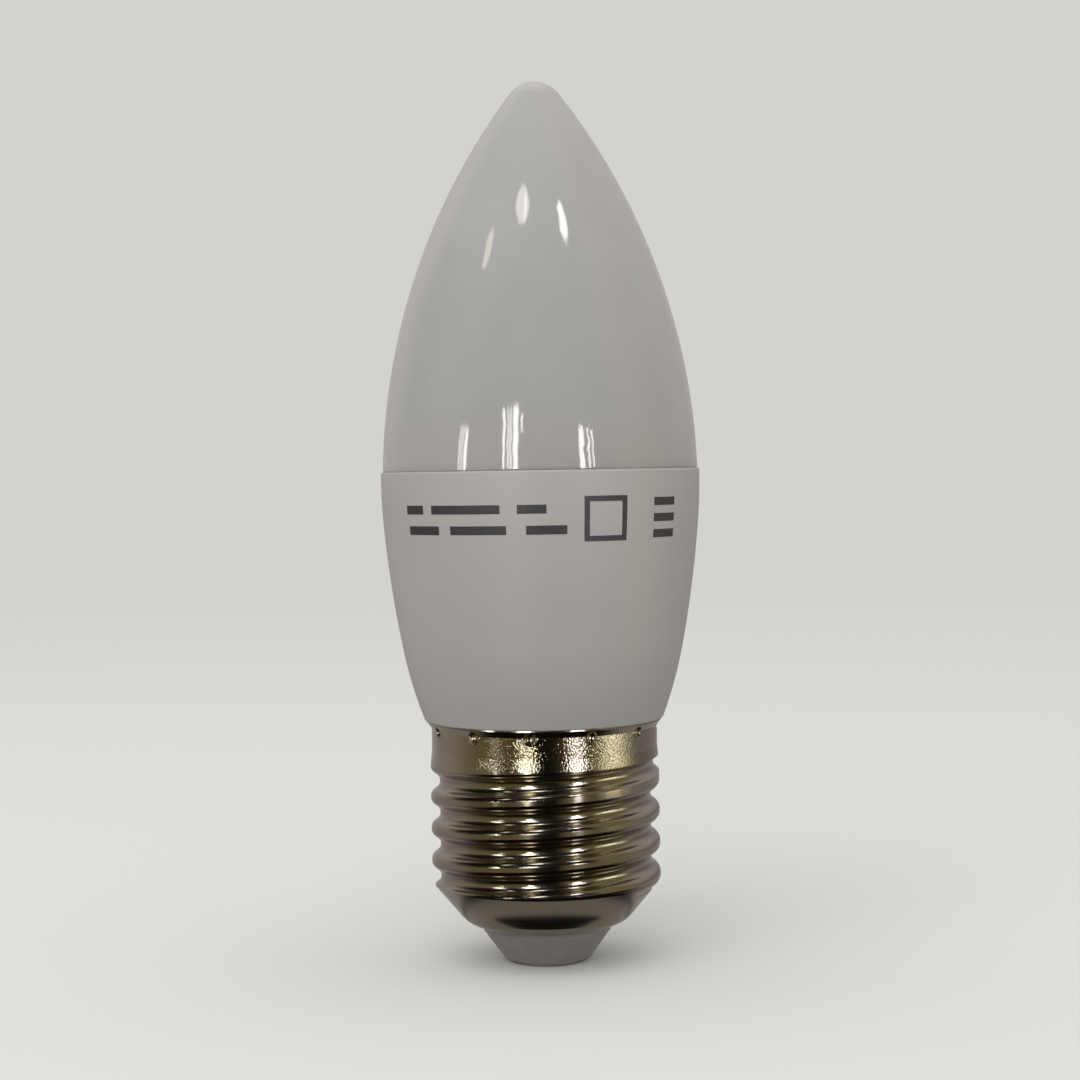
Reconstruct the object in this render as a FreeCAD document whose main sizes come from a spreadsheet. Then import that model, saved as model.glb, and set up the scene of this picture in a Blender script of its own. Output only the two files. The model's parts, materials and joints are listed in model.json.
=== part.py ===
import FreeCAD, Part
import math
import os

import Sketcher

# Candle bulb with a 27 mm screw cap, in millimetres.
#
# The axis is Z and the front faces -Y. The flat centre contact stands on z = 0 and the tip of the
# dome points up. Five pieces are modelled, each turned round the axis: the opal dome, the moulded
# housing under it, the rolled screw shell, the insulator in the shell's mouth and the centre
# contact. The lamp is sealed and nothing shows inside it, so the dome and the housing are solid.

Vector = FreeCAD.Vector
Rotation = FreeCAD.Rotation
Placement = FreeCAD.Placement

doc = FreeCAD.newDocument("CandleBulb")

# Driving sizes, one row each: name, number and what it is. Lengths are in mm, angles in degrees.
# Heights follow one another up from the contact's face, and radii out from the thread's crests.
DRIVING = [
    ("joint_fit", 0.08, "radial clearance wherever one piece sits inside another"),
    ("contact_radius", 4.6, "head of the centre contact"),
    ("contact_thickness", 0.6, "thickness of that head"),
    ("contact_proud", 0.36, "how far the head stands out of the insulator"),
    ("contact_edge", 0.12, "rounded edge of the head"),
    ("pin_radius", 1.1, "pin of the contact, through the insulator"),
    ("pin_end", 0.12, "how far the pin stands out above the insulator"),
    ("insulator_height", 3.14, "from the insulator's lower end up to its shoulder"),
    ("insulator_rim", 0.45, "insulator's lower end out from the contact's head"),
    ("insulator_inset", 0.25, "shoulder inside the shell's mouth"),
    ("insulator_step", 0.7, "from that shoulder up to the mouth"),
    ("insulator_round", 0.3, "rounded shoulder of the insulator"),
    ("insulator_foot_round", 0.2, "rounded lower edge of the insulator"),
    ("flange_reach", 1.3, "how far the insulator's flange reaches out past the mouth, in the shell"),
    ("flange_height", 1.3, "how far that flange stands up"),
    ("sheet_thickness", 0.3, "sheet metal of the screw shell"),
    ("bowl_inset", 2.24, "from the cone's lower end in to the mouth"),
    ("bowl_rise", 1.06, "height of the bowl round the mouth"),
    ("bowl_arc_radius", 3.2, "arc of that bowl"),
    ("cone_inset", 3.33, "from the crests in to the cone's lower end"),
    ("cone_rise", 3.99, "height of the cone"),
    ("shoulder_round", 0.9, "rounding between the cone and the threaded wall"),
    ("thread_radius", 13.17, "over the crests"),
    ("threaded_height", 15.23, "threaded wall, from the shoulder up to the band"),
    ("thread_pitch", 3.629, "seven turns to the inch"),
    ("thread_depth", 1.05, "from crest to root"),
    ("thread_crest_relief", 0.03, "how much of the round crest is rolled flat"),
    ("thread_drop", 2.84, "from the band down to the root where the run-out starts"),
    ("thread_lead", 4.85, "how far below the shoulder the groove starts, clear of the cone"),
    ("runout_direction", 270.0, "where the run-out starts, from +X: at the front"),
    ("runout_turns", 0.75, "turns over which the groove fades into the band"),
    ("root_wall", 0.35, "metal left behind the thread's roots"),
    ("band_step", 0.19, "band inside the crests"),
    ("band_height", 2.4, "straight part of the band"),
    ("flare_step", 0.64, "how far the rim flares out of the band"),
    ("flare_height", 0.87, "height of the flare"),
    ("dent_count", 12.0, "dents that stake the shell to the housing's neck"),
    ("dent_phase", 23.0, "direction of the first dent, from +X"),
    ("dent_drop", 1.02, "dent centres below the housing"),
    ("dent_punch_radius", 0.72, "round nose of the punch"),
    ("dent_depth", 0.3, "depth of a dent"),
    ("neck_end_gap", 0.35, "from the end of the neck down to the shell's cone"),
    ("neck_taper", 2.2, "height of the step from the neck's core to its top"),
    ("housing_ledge", 0.1, "housing out from the flared rim"),
    ("foot_height", 8.25, "height of the housing's lowest arc"),
    ("foot_arc_radius", 49.5, "radius of that arc"),
    ("foot_round", 0.25, "rounded edge at the bottom of the housing"),
    ("waist_height", 14.3, "height of the middle arc, the long waist"),
    ("waist_arc_radius", 133.0, "radius of that arc"),
    ("belly_height", 5.3, "height of the upper arc, the belly"),
    ("belly_arc_radius", 62.0, "radius of that arc"),
    ("lip_height", 0.7, "straight land at the top of the housing, where it is widest"),
    ("lip_round", 0.2, "rounded edge of the housing at the seam"),
    ("socket_floor_gap", 0.3, "air under the dome's plug"),
    ("dome_step", 0.22, "dome inside the housing's lip at the seam"),
    ("dome_wall", 1.22, "from the dome's side in to its plug"),
    ("spigot_length", 4.0, "depth of that plug in the housing"),
    ("dome_arc_radius", 74.5, "the long arc of the dome's side"),
    ("dome_arc_drop", 1.83, "how far the centre of that arc lies below the seam"),
    ("dome_tip_radius", 3.6, "ball that closes the tip"),
    ("dome_edge_round", 0.15, "rounded edge of the dome at the seam"),
]

# Sizes and places worked out from the driving ones, as formulas of the second sheet.
WORKED_OUT = [
    ("insulator_shoulder_height", "Sizes.contact_proud + Sizes.insulator_height"),
    ("mouth_height", "insulator_shoulder_height + Sizes.insulator_step"),
    ("cone_height", "mouth_height + Sizes.bowl_rise"),
    ("shoulder_height", "cone_height + Sizes.cone_rise"),
    ("band_bottom", "shoulder_height + Sizes.threaded_height"),
    ("band_top", "band_bottom + Sizes.band_height"),
    ("housing_bottom", "band_top + Sizes.flare_height"),
    ("waist_bottom", "housing_bottom + Sizes.foot_height"),
    ("belly_bottom", "waist_bottom + Sizes.waist_height"),
    ("lip_bottom", "belly_bottom + Sizes.belly_height"),
    ("seam_height", "lip_bottom + Sizes.lip_height"),
    ("spigot_bottom", "seam_height - Sizes.spigot_length"),
    ("socket_floor", "spigot_bottom - Sizes.socket_floor_gap"),
    ("cone_radius", "Sizes.thread_radius - Sizes.cone_inset"),
    ("mouth_radius", "cone_radius - Sizes.bowl_inset"),
    ("band_radius", "Sizes.thread_radius - Sizes.band_step"),
    ("flare_radius", "band_radius + Sizes.flare_step"),
    ("belly_lean", "Sizes.belly_height / Sizes.belly_arc_radius"),
    ("waist_lean", "belly_lean + Sizes.waist_height / Sizes.waist_arc_radius"),
    ("foot_lean", "waist_lean + Sizes.foot_height / Sizes.foot_arc_radius"),
    ("foot_radius", "flare_radius + Sizes.housing_ledge"),
    (
        "waist_radius",
        "foot_radius + Sizes.foot_arc_radius * (sqrt(1 - waist_lean^2) - sqrt(1 - foot_lean^2))",
    ),
    (
        "belly_radius",
        "waist_radius + Sizes.waist_arc_radius * (sqrt(1 - belly_lean^2) - sqrt(1 - waist_lean^2))",
    ),
    ("lip_radius", "belly_radius + Sizes.belly_arc_radius * (1 - sqrt(1 - belly_lean^2))"),
    ("dome_rim_radius", "lip_radius - Sizes.dome_step"),
    ("spigot_radius", "dome_rim_radius - Sizes.dome_wall"),
    ("socket_radius", "spigot_radius + Sizes.joint_fit"),
    ("dome_arc_centre", "dome_rim_radius - sqrt(Sizes.dome_arc_radius^2 - Sizes.dome_arc_drop^2)"),
    ("dome_arc_height", "seam_height - Sizes.dome_arc_drop"),
    ("dome_tip_reach", "Sizes.dome_arc_radius - Sizes.dome_tip_radius"),
    ("dome_tip_centre", "dome_arc_height + sqrt(dome_tip_reach^2 - dome_arc_centre^2)"),
    ("dome_top", "dome_tip_centre + Sizes.dome_tip_radius"),
    ("dome_join_radius", "-dome_arc_centre * Sizes.dome_tip_radius / dome_tip_reach"),
    ("dome_tip_part", "Sizes.dome_tip_radius / dome_tip_reach"),
    ("dome_join_height", "dome_tip_centre + (dome_tip_centre - dome_arc_height) * dome_tip_part"),
    ("band_bore", "band_radius - Sizes.sheet_thickness"),
    ("flare_slope", "(flare_radius - band_radius) / Sizes.flare_height"),
    ("flare_bore", "flare_radius - Sizes.sheet_thickness * sqrt(1 + flare_slope^2)"),
    ("band_bore_top", "housing_bottom - (flare_bore - band_bore) / flare_slope"),
    ("thread_top", "band_bottom - Sizes.thread_drop"),
    ("thread_zone_top", "thread_top + Sizes.thread_pitch / 4"),
    ("root_radius", "Sizes.thread_radius - Sizes.thread_depth"),
    ("thread_bore", "root_radius - Sizes.root_wall"),
    ("thread_bore_top", "band_bottom - Sizes.neck_taper"),
    ("cone_slope", "(shoulder_height - cone_height) / (Sizes.thread_radius - cone_radius)"),
    ("cone_skew", "Sizes.sheet_thickness / sqrt(1 + cone_slope^2)"),
    ("cone_inner_radius", "cone_radius - cone_skew * cone_slope"),
    ("cone_inner_height", "cone_height + cone_skew"),
    ("bore_bottom", "cone_inner_height + (thread_bore - cone_inner_radius) * cone_slope"),
    ("mouth_inner_height", "mouth_height + Sizes.sheet_thickness"),
    ("bowl_inner_arc", "Sizes.bowl_arc_radius - Sizes.sheet_thickness"),
    ("swell_depth", "Sizes.thread_depth + Sizes.thread_crest_relief"),
    ("groove_arc", "((Sizes.thread_pitch / 2)^2 + swell_depth^2) / (4 * swell_depth)"),
    ("groove_reach", "Sizes.thread_radius + Sizes.thread_crest_relief / 2"),
    ("flank_radius", "root_radius + swell_depth / 2"),
    ("flank_rise", "Sizes.thread_pitch / 4"),
    ("crest_centre", "root_radius + swell_depth - groove_arc"),
    ("crest_half_width", "sqrt(groove_arc^2 - (groove_reach - crest_centre)^2)"),
    ("groove_half_mouth", "Sizes.thread_pitch / 2 - crest_half_width"),
    ("groove_start", "shoulder_height - Sizes.thread_lead"),
    ("groove_turns", "(thread_top - groove_start) / Sizes.thread_pitch"),
    ("turns_before", "groove_turns - trunc(groove_turns)"),
    ("groove_direction", "mod(Sizes.runout_direction + 360 * (1 - turns_before); 360)"),
    ("runout_angle", "atan(swell_depth / (Sizes.runout_turns * Sizes.thread_pitch))"),
    ("dent_height", "housing_bottom - Sizes.dent_drop"),
    ("dent_centre", "band_radius - Sizes.dent_depth + Sizes.dent_punch_radius"),
    ("dent_back_radius", "Sizes.dent_punch_radius + Sizes.sheet_thickness"),
    ("dent_back_end", "dent_centre - dent_back_radius"),
    ("dent_sheet_middle", "band_radius - Sizes.sheet_thickness / 2"),
    ("dent_back_rise", "sqrt(dent_back_radius^2 - (dent_centre - dent_sheet_middle)^2)"),
    ("dent_bottom", "band_radius - Sizes.dent_depth"),
    ("pocket_radius", "dent_back_radius + Sizes.joint_fit"),
    ("pocket_bottom", "dent_centre - pocket_radius"),
    ("pocket_rise", "sqrt(pocket_radius^2 - (dent_centre - band_bore)^2)"),
    ("neck_radius", "band_bore - Sizes.joint_fit"),
    ("core_radius", "thread_bore - Sizes.joint_fit"),
    ("neck_end", "bore_bottom + Sizes.neck_end_gap"),
    ("insulator_shoulder_radius", "mouth_radius - Sizes.insulator_inset"),
    ("insulator_foot_radius", "Sizes.contact_radius + Sizes.insulator_rim"),
    ("insulator_flange_radius", "mouth_radius + Sizes.flange_reach"),
    ("waist_fit_radius", "mouth_radius - Sizes.joint_fit"),
    ("flange_bottom", "mouth_inner_height + Sizes.joint_fit"),
    ("bowl_slope", "(cone_inner_height - mouth_inner_height) / (cone_inner_radius - mouth_radius)"),
    ("flange_edge", "flange_bottom + (insulator_flange_radius - mouth_radius) * bowl_slope"),
    ("flange_top", "flange_bottom + Sizes.flange_height"),
    ("recess_radius", "Sizes.contact_radius + Sizes.joint_fit"),
    ("pin_hole_radius", "Sizes.pin_radius + Sizes.joint_fit"),
    ("pin_top", "flange_top + Sizes.pin_end"),
]


def fill_sheet(name, rows, is_formula):
    """A spreadsheet with one aliased row for each value."""
    sheet = doc.addObject("Spreadsheet::Sheet", name)
    for number, row in enumerate(rows, start=1):
        sheet.set(f"A{number}", row[0])
        sheet.set(f"B{number}", "=" + row[1] if is_formula else str(row[1]))
        sheet.setAlias(f"B{number}", row[0])
        if not is_formula:
            sheet.set(f"C{number}", row[2])
    doc.recompute()
    return sheet


sizes = fill_sheet("Sizes", DRIVING, False)
places = fill_sheet("Places", WORKED_OUT, True)
driving_names = {row[0] for row in DRIVING}


def number(name):
    """The present value of a named size or place, its opposite after a minus, and zero for None."""
    if name is None:
        return 0.0
    if name.startswith("-"):
        return -number(name[1:])
    return float((sizes if name in driving_names else places).get(name))


def formula(name):
    """The expression that binds a property to a named size or place."""
    if name.startswith("-"):
        return "-" + formula(name[1:])
    return ("Sizes." if name in driving_names else "Places.") + name


def new_body(name, label):
    """An empty body for one piece."""
    body = doc.addObject("PartDesign::Body", name)
    body.Label = label
    return body


def axial_sketch(body, name, direction=None, height=None):
    """A sketch in a plane through the lamp's axis.

    Sketch X points outwards and sketch Y along the axis. direction names the angle from +X, and
    height lifts the sketch's origin up the axis.
    """
    sketch = body.newObject("Sketcher::SketchObject", name)
    plane = next(item for item in body.Origin.OriginFeatures if item.Role == "XZ_Plane")
    sketch.AttachmentSupport = [(plane, "")]
    sketch.MapMode = "FlatFace"
    sketch.AttachmentOffset = Placement(Vector(), Rotation(Vector(0, 1, 0), 0))
    if direction:
        sketch.AttachmentOffset = Placement(Vector(), Rotation(Vector(0, 1, 0), number(direction)))
        sketch.setExpression("AttachmentOffset.Rotation.Angle", formula(direction))
    if height:
        sketch.setExpression("AttachmentOffset.Base.y", formula(height))
    doc.recompute()
    return sketch


def arc_between(start, end, radius, hollow):
    """The shorter arc of a radius from start to end.

    It bulges to the right of that way, or to the left if hollow. A sketch's arcs run anticlockwise,
    so a hollow one is drawn from its end to its start.
    """
    if hollow:
        start, end = end, start
    chord = end - start
    right = Vector(chord.y, -chord.x, 0).normalize()
    depth = (radius**2 - chord.Length**2 / 4) ** 0.5
    centre = (start + end) * 0.5 - right * depth
    first, last = (math.atan2(spot.y - centre.y, spot.x - centre.x) for spot in (start, end))
    if last < first:
        last += 2 * math.pi
    return Part.ArcOfCircle(Part.Circle(centre, Vector(0, 0, 1), radius), first, last)


def draw(sketch, corners):
    """Close an outline through named corners and tie each corner and radius to its sheet.

    A corner is (radius name, height name), and may carry a third item, the way on to the next corner:
    ("out", radius name) for an arc that bulges to the right of the way, ("in", radius name) for a
    hollow one. None stands for zero.
    """
    spots = [Vector(number(corner[0]), number(corner[1]), 0) for corner in corners]
    for index, corner in enumerate(corners):
        start, end = spots[index], spots[(index + 1) % len(spots)]
        if len(corner) == 3:
            arc = arc_between(start, end, number(corner[2][1]), corner[2][0] == "in")
            sketch.addGeometry(arc, False)
        else:
            sketch.addGeometry(Part.LineSegment(start, end), False)
    first_end = [2 if len(corner) == 3 and corner[2][0] == "in" else 1 for corner in corners]
    for index, corner in enumerate(corners):
        before = index - 1 if index else len(corners) - 1
        sketch.addConstraint(
            Sketcher.Constraint("Coincident", before, 3 - first_end[before], index, first_end[index])
        )
    for index, corner in enumerate(corners):
        for kind, name, axis in (("DistanceX", corner[0], -2), ("DistanceY", corner[1], -1)):
            if name is None:
                on_axis = Sketcher.Constraint("PointOnObject", index, first_end[index], axis)
                sketch.addConstraint(on_axis)
                continue
            made = sketch.addConstraint(
                Sketcher.Constraint(kind, -1, 1, index, first_end[index], number(name))
            )
            sketch.setExpression(f"Constraints[{made}]", formula(name))
        if len(corner) == 3:
            made = sketch.addConstraint(Sketcher.Constraint("Radius", index, number(corner[2][1])))
            sketch.setExpression(f"Constraints[{made}]", formula(corner[2][1]))
    doc.recompute()


def turn(body, name, sketch, feature="PartDesign::Revolution", axis="V_Axis"):
    """Revolve a sketch all round, to add or to cut."""
    made = body.newObject(feature, name)
    made.Profile = sketch
    made.ReferenceAxis = (sketch, [axis])
    made.Angle = 360
    doc.recompute()
    return made


def round_rims(body, name, rims, radius):
    """Round the circular edges whose radius and height are named."""
    base = body.Tip
    edges = []
    for index, edge in enumerate(base.Shape.Edges, start=1):
        if edge.Degenerated or not isinstance(edge.Curve, Part.Circle):
            continue
        for rim_radius, rim_height in rims:
            same_radius = abs(edge.Curve.Radius - number(rim_radius)) < 1e-4
            if same_radius and abs(edge.Curve.Center.z - number(rim_height)) < 1e-4:
                edges.append(f"Edge{index}")
    made = body.newObject("PartDesign::Fillet", name)
    made.Base = (base, edges)
    made.Radius = number(radius)
    made.setExpression("Radius", formula(radius))
    doc.recompute()
    return made


def repeat_round(body, name, features, count):
    """Repeat features round the axis."""
    axis = next(item for item in body.Origin.OriginFeatures if item.Role == "Z_Axis")
    made = body.newObject("PartDesign::PolarPattern", name)
    made.Originals = features
    made.Axis = (axis, [""])
    made.Angle = 360
    made.Occurrences = int(number(count))
    made.setExpression("Occurrences", formula(count))
    body.Tip = made
    doc.recompute()
    return made


def cut_helix(body, name, sketch, turns, cone_angle=None):
    """Sweep a profile up a right-handed helix and cut it away."""
    made = body.newObject("PartDesign::SubtractiveHelix", name)
    made.Profile = sketch
    made.ReferenceAxis = (sketch, ["V_Axis"])
    made.Mode = "pitch-turns-angle"
    made.Pitch = number("thread_pitch")
    made.setExpression("Pitch", formula("thread_pitch"))
    made.Turns = number(turns)
    made.setExpression("Turns", formula(turns))
    if cone_angle:
        made.Angle = number(cone_angle)
        made.setExpression("Angle", formula(cone_angle))
    made.LeftHanded = False
    made.Reversed = False
    doc.recompute()
    return made


def make_diffuser():
    """The blown opal dome, with the plug that sits in the housing."""
    body = new_body("Diffuser", "diffuser")
    sketch = axial_sketch(body, "DomeOutline")
    draw(
        sketch,
        [
            (None, "spigot_bottom"),
            ("spigot_radius", "spigot_bottom"),
            ("spigot_radius", "seam_height"),
            ("dome_rim_radius", "seam_height", ("out", "dome_arc_radius")),
            ("dome_join_radius", "dome_join_height", ("out", "dome_tip_radius")),
            (None, "dome_top"),
        ],
    )
    turn(body, "Dome", sketch)
    round_rims(body, "DomeEdge", [("dome_rim_radius", "seam_height")], "dome_edge_round")
    return body


def make_housing():
    """The moulded housing: three tangent arcs outside, a socket on top and the neck inside the cap."""
    body = new_body("Housing", "housing")
    sketch = axial_sketch(body, "HousingOutline")
    draw(
        sketch,
        [
            (None, "neck_end"),
            ("core_radius", "neck_end"),
            ("core_radius", "thread_bore_top"),
            ("neck_radius", "band_bottom"),
            ("neck_radius", "housing_bottom"),
            ("foot_radius", "housing_bottom", ("out", "foot_arc_radius")),
            ("waist_radius", "waist_bottom", ("out", "waist_arc_radius")),
            ("belly_radius", "belly_bottom", ("out", "belly_arc_radius")),
            ("lip_radius", "lip_bottom"),
            ("lip_radius", "seam_height"),
            ("socket_radius", "seam_height"),
            ("socket_radius", "socket_floor"),
            (None, "socket_floor"),
        ],
    )
    turn(body, "HousingBody", sketch)
    round_rims(body, "LipEdge", [("lip_radius", "seam_height")], "lip_round")
    round_rims(body, "FootEdge", [("foot_radius", "housing_bottom")], "foot_round")
    pocket = axial_sketch(body, "DentPocketOutline", "dent_phase", "dent_height")
    draw(
        pocket,
        [
            ("pocket_bottom", None),
            ("band_bore", None),
            ("band_bore", "pocket_rise", ("out", "pocket_radius")),
        ],
    )
    first = turn(body, "DentPocket", pocket, "PartDesign::Groove", "H_Axis")
    repeat_round(body, "DentPockets", [first], "dent_count")
    return body


def make_screw_shell():
    """The cap's shell, rolled from thin sheet.

    From the top it has a flared rim, a plain band with staking dents, a round right-handed thread
    that runs out into the band, a cone and a mouth. Its bore is plain, on the plain neck.
    """
    body = new_body("ScrewShell", "screw_shell")
    sketch = axial_sketch(body, "ShellOutline")
    draw(
        sketch,
        [
            ("mouth_radius", "mouth_height", ("out", "bowl_arc_radius")),
            ("cone_radius", "cone_height"),
            ("thread_radius", "shoulder_height"),
            ("thread_radius", "thread_zone_top"),
            ("band_radius", "band_bottom"),
            ("band_radius", "band_top"),
            ("flare_radius", "housing_bottom"),
            ("flare_bore", "housing_bottom"),
            ("band_bore", "band_bore_top"),
            ("band_bore", "band_bottom"),
            ("thread_bore", "thread_bore_top"),
            ("thread_bore", "bore_bottom"),
            ("cone_inner_radius", "cone_inner_height", ("in", "bowl_inner_arc")),
            ("mouth_radius", "mouth_inner_height"),
        ],
    )
    turn(body, "ShellBlank", sketch)
    round_rims(body, "Shoulder", [("thread_radius", "shoulder_height")], "shoulder_round")
    back = axial_sketch(body, "DentBackOutline", "dent_phase", "dent_height")
    draw(
        back,
        [
            ("dent_back_end", None),
            ("dent_sheet_middle", None),
            ("dent_sheet_middle", "dent_back_rise", ("out", "dent_back_radius")),
        ],
    )
    bulge = turn(body, "DentBack", back, "PartDesign::Revolution", "H_Axis")
    repeat_round(body, "DentBacks", [bulge], "dent_count")
    nose = axial_sketch(body, "DentOutline", "dent_phase", "dent_height")
    draw(
        nose,
        [
            ("dent_bottom", None),
            ("dent_centre", None),
            ("dent_centre", "dent_punch_radius", ("out", "dent_punch_radius")),
        ],
    )
    dent = turn(body, "Dent", nose, "PartDesign::Groove", "H_Axis")
    repeat_round(body, "Dents", [dent], "dent_count")
    groove_outline = [
        ("groove_reach", "-groove_half_mouth"),
        ("groove_reach", "groove_half_mouth", ("in", "groove_arc")),
        ("flank_radius", "flank_rise", ("out", "groove_arc")),
        ("flank_radius", "-flank_rise", ("in", "groove_arc")),
    ]
    groove = axial_sketch(body, "GrooveOutline", "groove_direction", "groove_start")
    draw(groove, groove_outline)
    cut_helix(body, "Thread", groove, "groove_turns")
    runout = axial_sketch(body, "RunoutOutline", "runout_direction", "thread_top")
    draw(runout, groove_outline)
    cut_helix(body, "ThreadRunout", runout, "runout_turns", "runout_angle")
    return body


def make_insulator():
    """The insulator moulded into the shell's mouth, with a flange inside and a seat for the contact."""
    body = new_body("Insulator", "insulator")
    sketch = axial_sketch(body, "InsulatorOutline")
    draw(
        sketch,
        [
            ("pin_hole_radius", "contact_thickness"),
            ("recess_radius", "contact_thickness"),
            ("recess_radius", "contact_proud"),
            ("insulator_foot_radius", "contact_proud"),
            ("insulator_shoulder_radius", "insulator_shoulder_height"),
            ("waist_fit_radius", "mouth_height"),
            ("waist_fit_radius", "flange_bottom"),
            ("insulator_flange_radius", "flange_edge"),
            ("insulator_flange_radius", "flange_top"),
            ("pin_hole_radius", "flange_top"),
        ],
    )
    turn(body, "InsulatorBody", sketch)
    rim = [("insulator_shoulder_radius", "insulator_shoulder_height")]
    round_rims(body, "InsulatorShoulder", rim, "insulator_round")
    rim = [("insulator_foot_radius", "contact_proud")]
    round_rims(body, "InsulatorFoot", rim, "insulator_foot_round")
    return body


def make_centre_contact():
    """The centre contact: a flat head under the insulator and a pin pressed through it."""
    body = new_body("CentreContact", "centre_contact")
    sketch = axial_sketch(body, "ContactOutline")
    draw(
        sketch,
        [
            (None, None),
            ("contact_radius", None),
            ("contact_radius", "contact_thickness"),
            ("pin_radius", "contact_thickness"),
            ("pin_radius", "pin_top"),
            (None, "pin_top"),
        ],
    )
    turn(body, "Contact", sketch)
    round_rims(body, "ContactEdge", [("contact_radius", None)], "contact_edge")
    return body


pieces = [
    make_diffuser(),
    make_housing(),
    make_screw_shell(),
    make_insulator(),
    make_centre_contact(),
]
doc.recompute()

for item in doc.Objects:
    if "Invalid" in item.State or "Error" in item.State:
        raise RuntimeError(f"{item.Name} did not build: {item.State}")
for piece in pieces:
    shape = piece.Shape
    if shape.isNull() or not shape.isValid() or len(shape.Solids) != 1:
        raise RuntimeError(f"{piece.Label} is not one valid solid")

os.makedirs("parts", exist_ok=True)
for piece in pieces:
    piece.Shape.exportStep(f"parts/{piece.Label}.step")
    print(f"{piece.Label}: {piece.Shape.Volume:.1f} mm3, {len(piece.Shape.Faces)} faces")
width = 2 * number("lip_radius")
print(f"overall height {number('dome_top'):.2f} mm, greatest diameter {width:.2f} mm")
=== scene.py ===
# %% [markdown]
# # A candle bulb with a screw cap
# This lesson dresses a finished model of a candle bulb: an opal plastic dome, a satin moulded
# housing, a nickel-plated screw shell, an insulator and the contact at its end. The solids come
# from the construction and keep their sizes, so most of the work is surfaces, print and light.
# The first step loads them, and gives a way to read the box round each one.

# %% Load the frame
import json
import math

import bpy
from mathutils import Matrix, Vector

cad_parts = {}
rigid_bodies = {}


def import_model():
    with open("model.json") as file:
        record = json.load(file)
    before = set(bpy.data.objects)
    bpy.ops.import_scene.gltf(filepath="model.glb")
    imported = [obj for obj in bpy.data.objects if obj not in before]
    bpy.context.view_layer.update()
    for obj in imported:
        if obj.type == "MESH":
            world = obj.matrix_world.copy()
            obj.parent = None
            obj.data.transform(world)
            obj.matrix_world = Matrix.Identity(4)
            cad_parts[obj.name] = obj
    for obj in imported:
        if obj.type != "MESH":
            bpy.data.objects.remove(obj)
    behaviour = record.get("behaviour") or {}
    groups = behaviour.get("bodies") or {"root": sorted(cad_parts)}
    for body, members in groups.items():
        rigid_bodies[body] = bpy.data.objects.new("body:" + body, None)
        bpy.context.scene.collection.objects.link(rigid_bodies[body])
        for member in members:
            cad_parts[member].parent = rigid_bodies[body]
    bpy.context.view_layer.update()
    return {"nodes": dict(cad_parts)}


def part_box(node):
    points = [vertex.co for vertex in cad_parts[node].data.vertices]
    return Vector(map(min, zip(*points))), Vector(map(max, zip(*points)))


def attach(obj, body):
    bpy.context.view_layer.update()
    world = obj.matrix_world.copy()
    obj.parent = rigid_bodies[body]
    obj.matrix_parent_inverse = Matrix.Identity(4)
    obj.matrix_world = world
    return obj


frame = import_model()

MM = 0.001

# %% [markdown]
# A few small helpers serve every later step. Tones are written as hex values, as a painting
# program gives them, but the shader wants linear light, so one function converts them. The bulb
# is round, so a place near it is given as a radius, a height and an azimuth: 0 is the front, and
# angles grow towards +X.


# %% Helpers for colour and place
def linear(hex_colour):
    """The linear colour of an sRGB hex value such as #a5a29c."""
    parts = [int(hex_colour[first : first + 2], 16) / 255 for first in (1, 3, 5)]
    straight = [p / 12.92 if p <= 0.04045 else ((p + 0.055) / 1.055) ** 2.4 for p in parts]
    return (*straight, 1.0)


def round_the_bulb(radius, height, azimuth):
    """The point at that radius, height and azimuth in degrees."""
    angle = math.radians(azimuth)
    return (radius * math.sin(angle), -radius * math.cos(angle), height)


print("mid grey is", round(linear("#808080")[0], 3), "in linear light")
print("one metre out at the right is", [round(part, 3) for part in round_the_bulb(1, 0, 90)])

# %% [markdown]
# A material is a small tree of nodes. One function adds any node, applies its settings and fills
# or links its inputs, so that each material reads like a recipe: what goes in, and what it makes.


# %% Helpers for materials
def add_node(tree, kind, inputs=None, stops=None, **settings):
    """Add a shader node, apply its settings, and fill or link its inputs by name or number.

    stops are a colour ramp's places and hex colours.
    """
    made = tree.nodes.new("ShaderNode" + kind)
    for name, value in settings.items():
        setattr(made, name, value)
    for name, value in (inputs or {}).items():
        if isinstance(value, bpy.types.NodeSocket):
            tree.links.new(value, made.inputs[name])
        else:
            made.inputs[name].default_value = value
    for index, (place, hex_colour) in enumerate(stops or []):
        elements = made.color_ramp.elements
        stop = elements[index] if index < 2 else elements.new(place)
        stop.position = place
        stop.color = linear(hex_colour)
    return made


def new_material(name):
    """A material with an empty node tree, and that tree."""
    material = bpy.data.materials.new(name)
    material.use_nodes = True
    material.node_tree.nodes.clear()
    return material, material.node_tree


def finish_with(tree, shader):
    """Join a shader to the material's output."""
    add_node(tree, "OutputMaterial", {"Surface": shader.outputs[0]})


def give_finish(solid, material):
    """Put a material on one of the solids."""
    frame["nodes"][solid].material_slots[0].material = material
    print(solid, "is", material.name)


print("the solids to dress are", ", ".join(frame["nodes"]))

# %% [markdown]
# The dome is opal polycarbonate, blown in a polished mould. Its wall is milky, so light wanders
# inside it, equally far in every colour, and the shade comes out even: subsurface scattering
# gives that. Its skin is glossy, with polycarbonate's IOR of 1.58, so lamps show as sharp
# streaks, and the polish has a faint peel that makes them waver. The milk is a little cloudy,
# and close to the seam a faint warm light bounced from the housing is painted into its tone.

# %% Opal polycarbonate of the dome
CLOUD = 9.0 * MM
PEEL = 2.4 * MM
PEEL_DEPTH = 0.0018 * MM
SEAM_BOUNCE_REACH = 7.0 * MM
MILK_DEPTH = 5.0 * MM
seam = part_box("housing")[1].z

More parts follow.
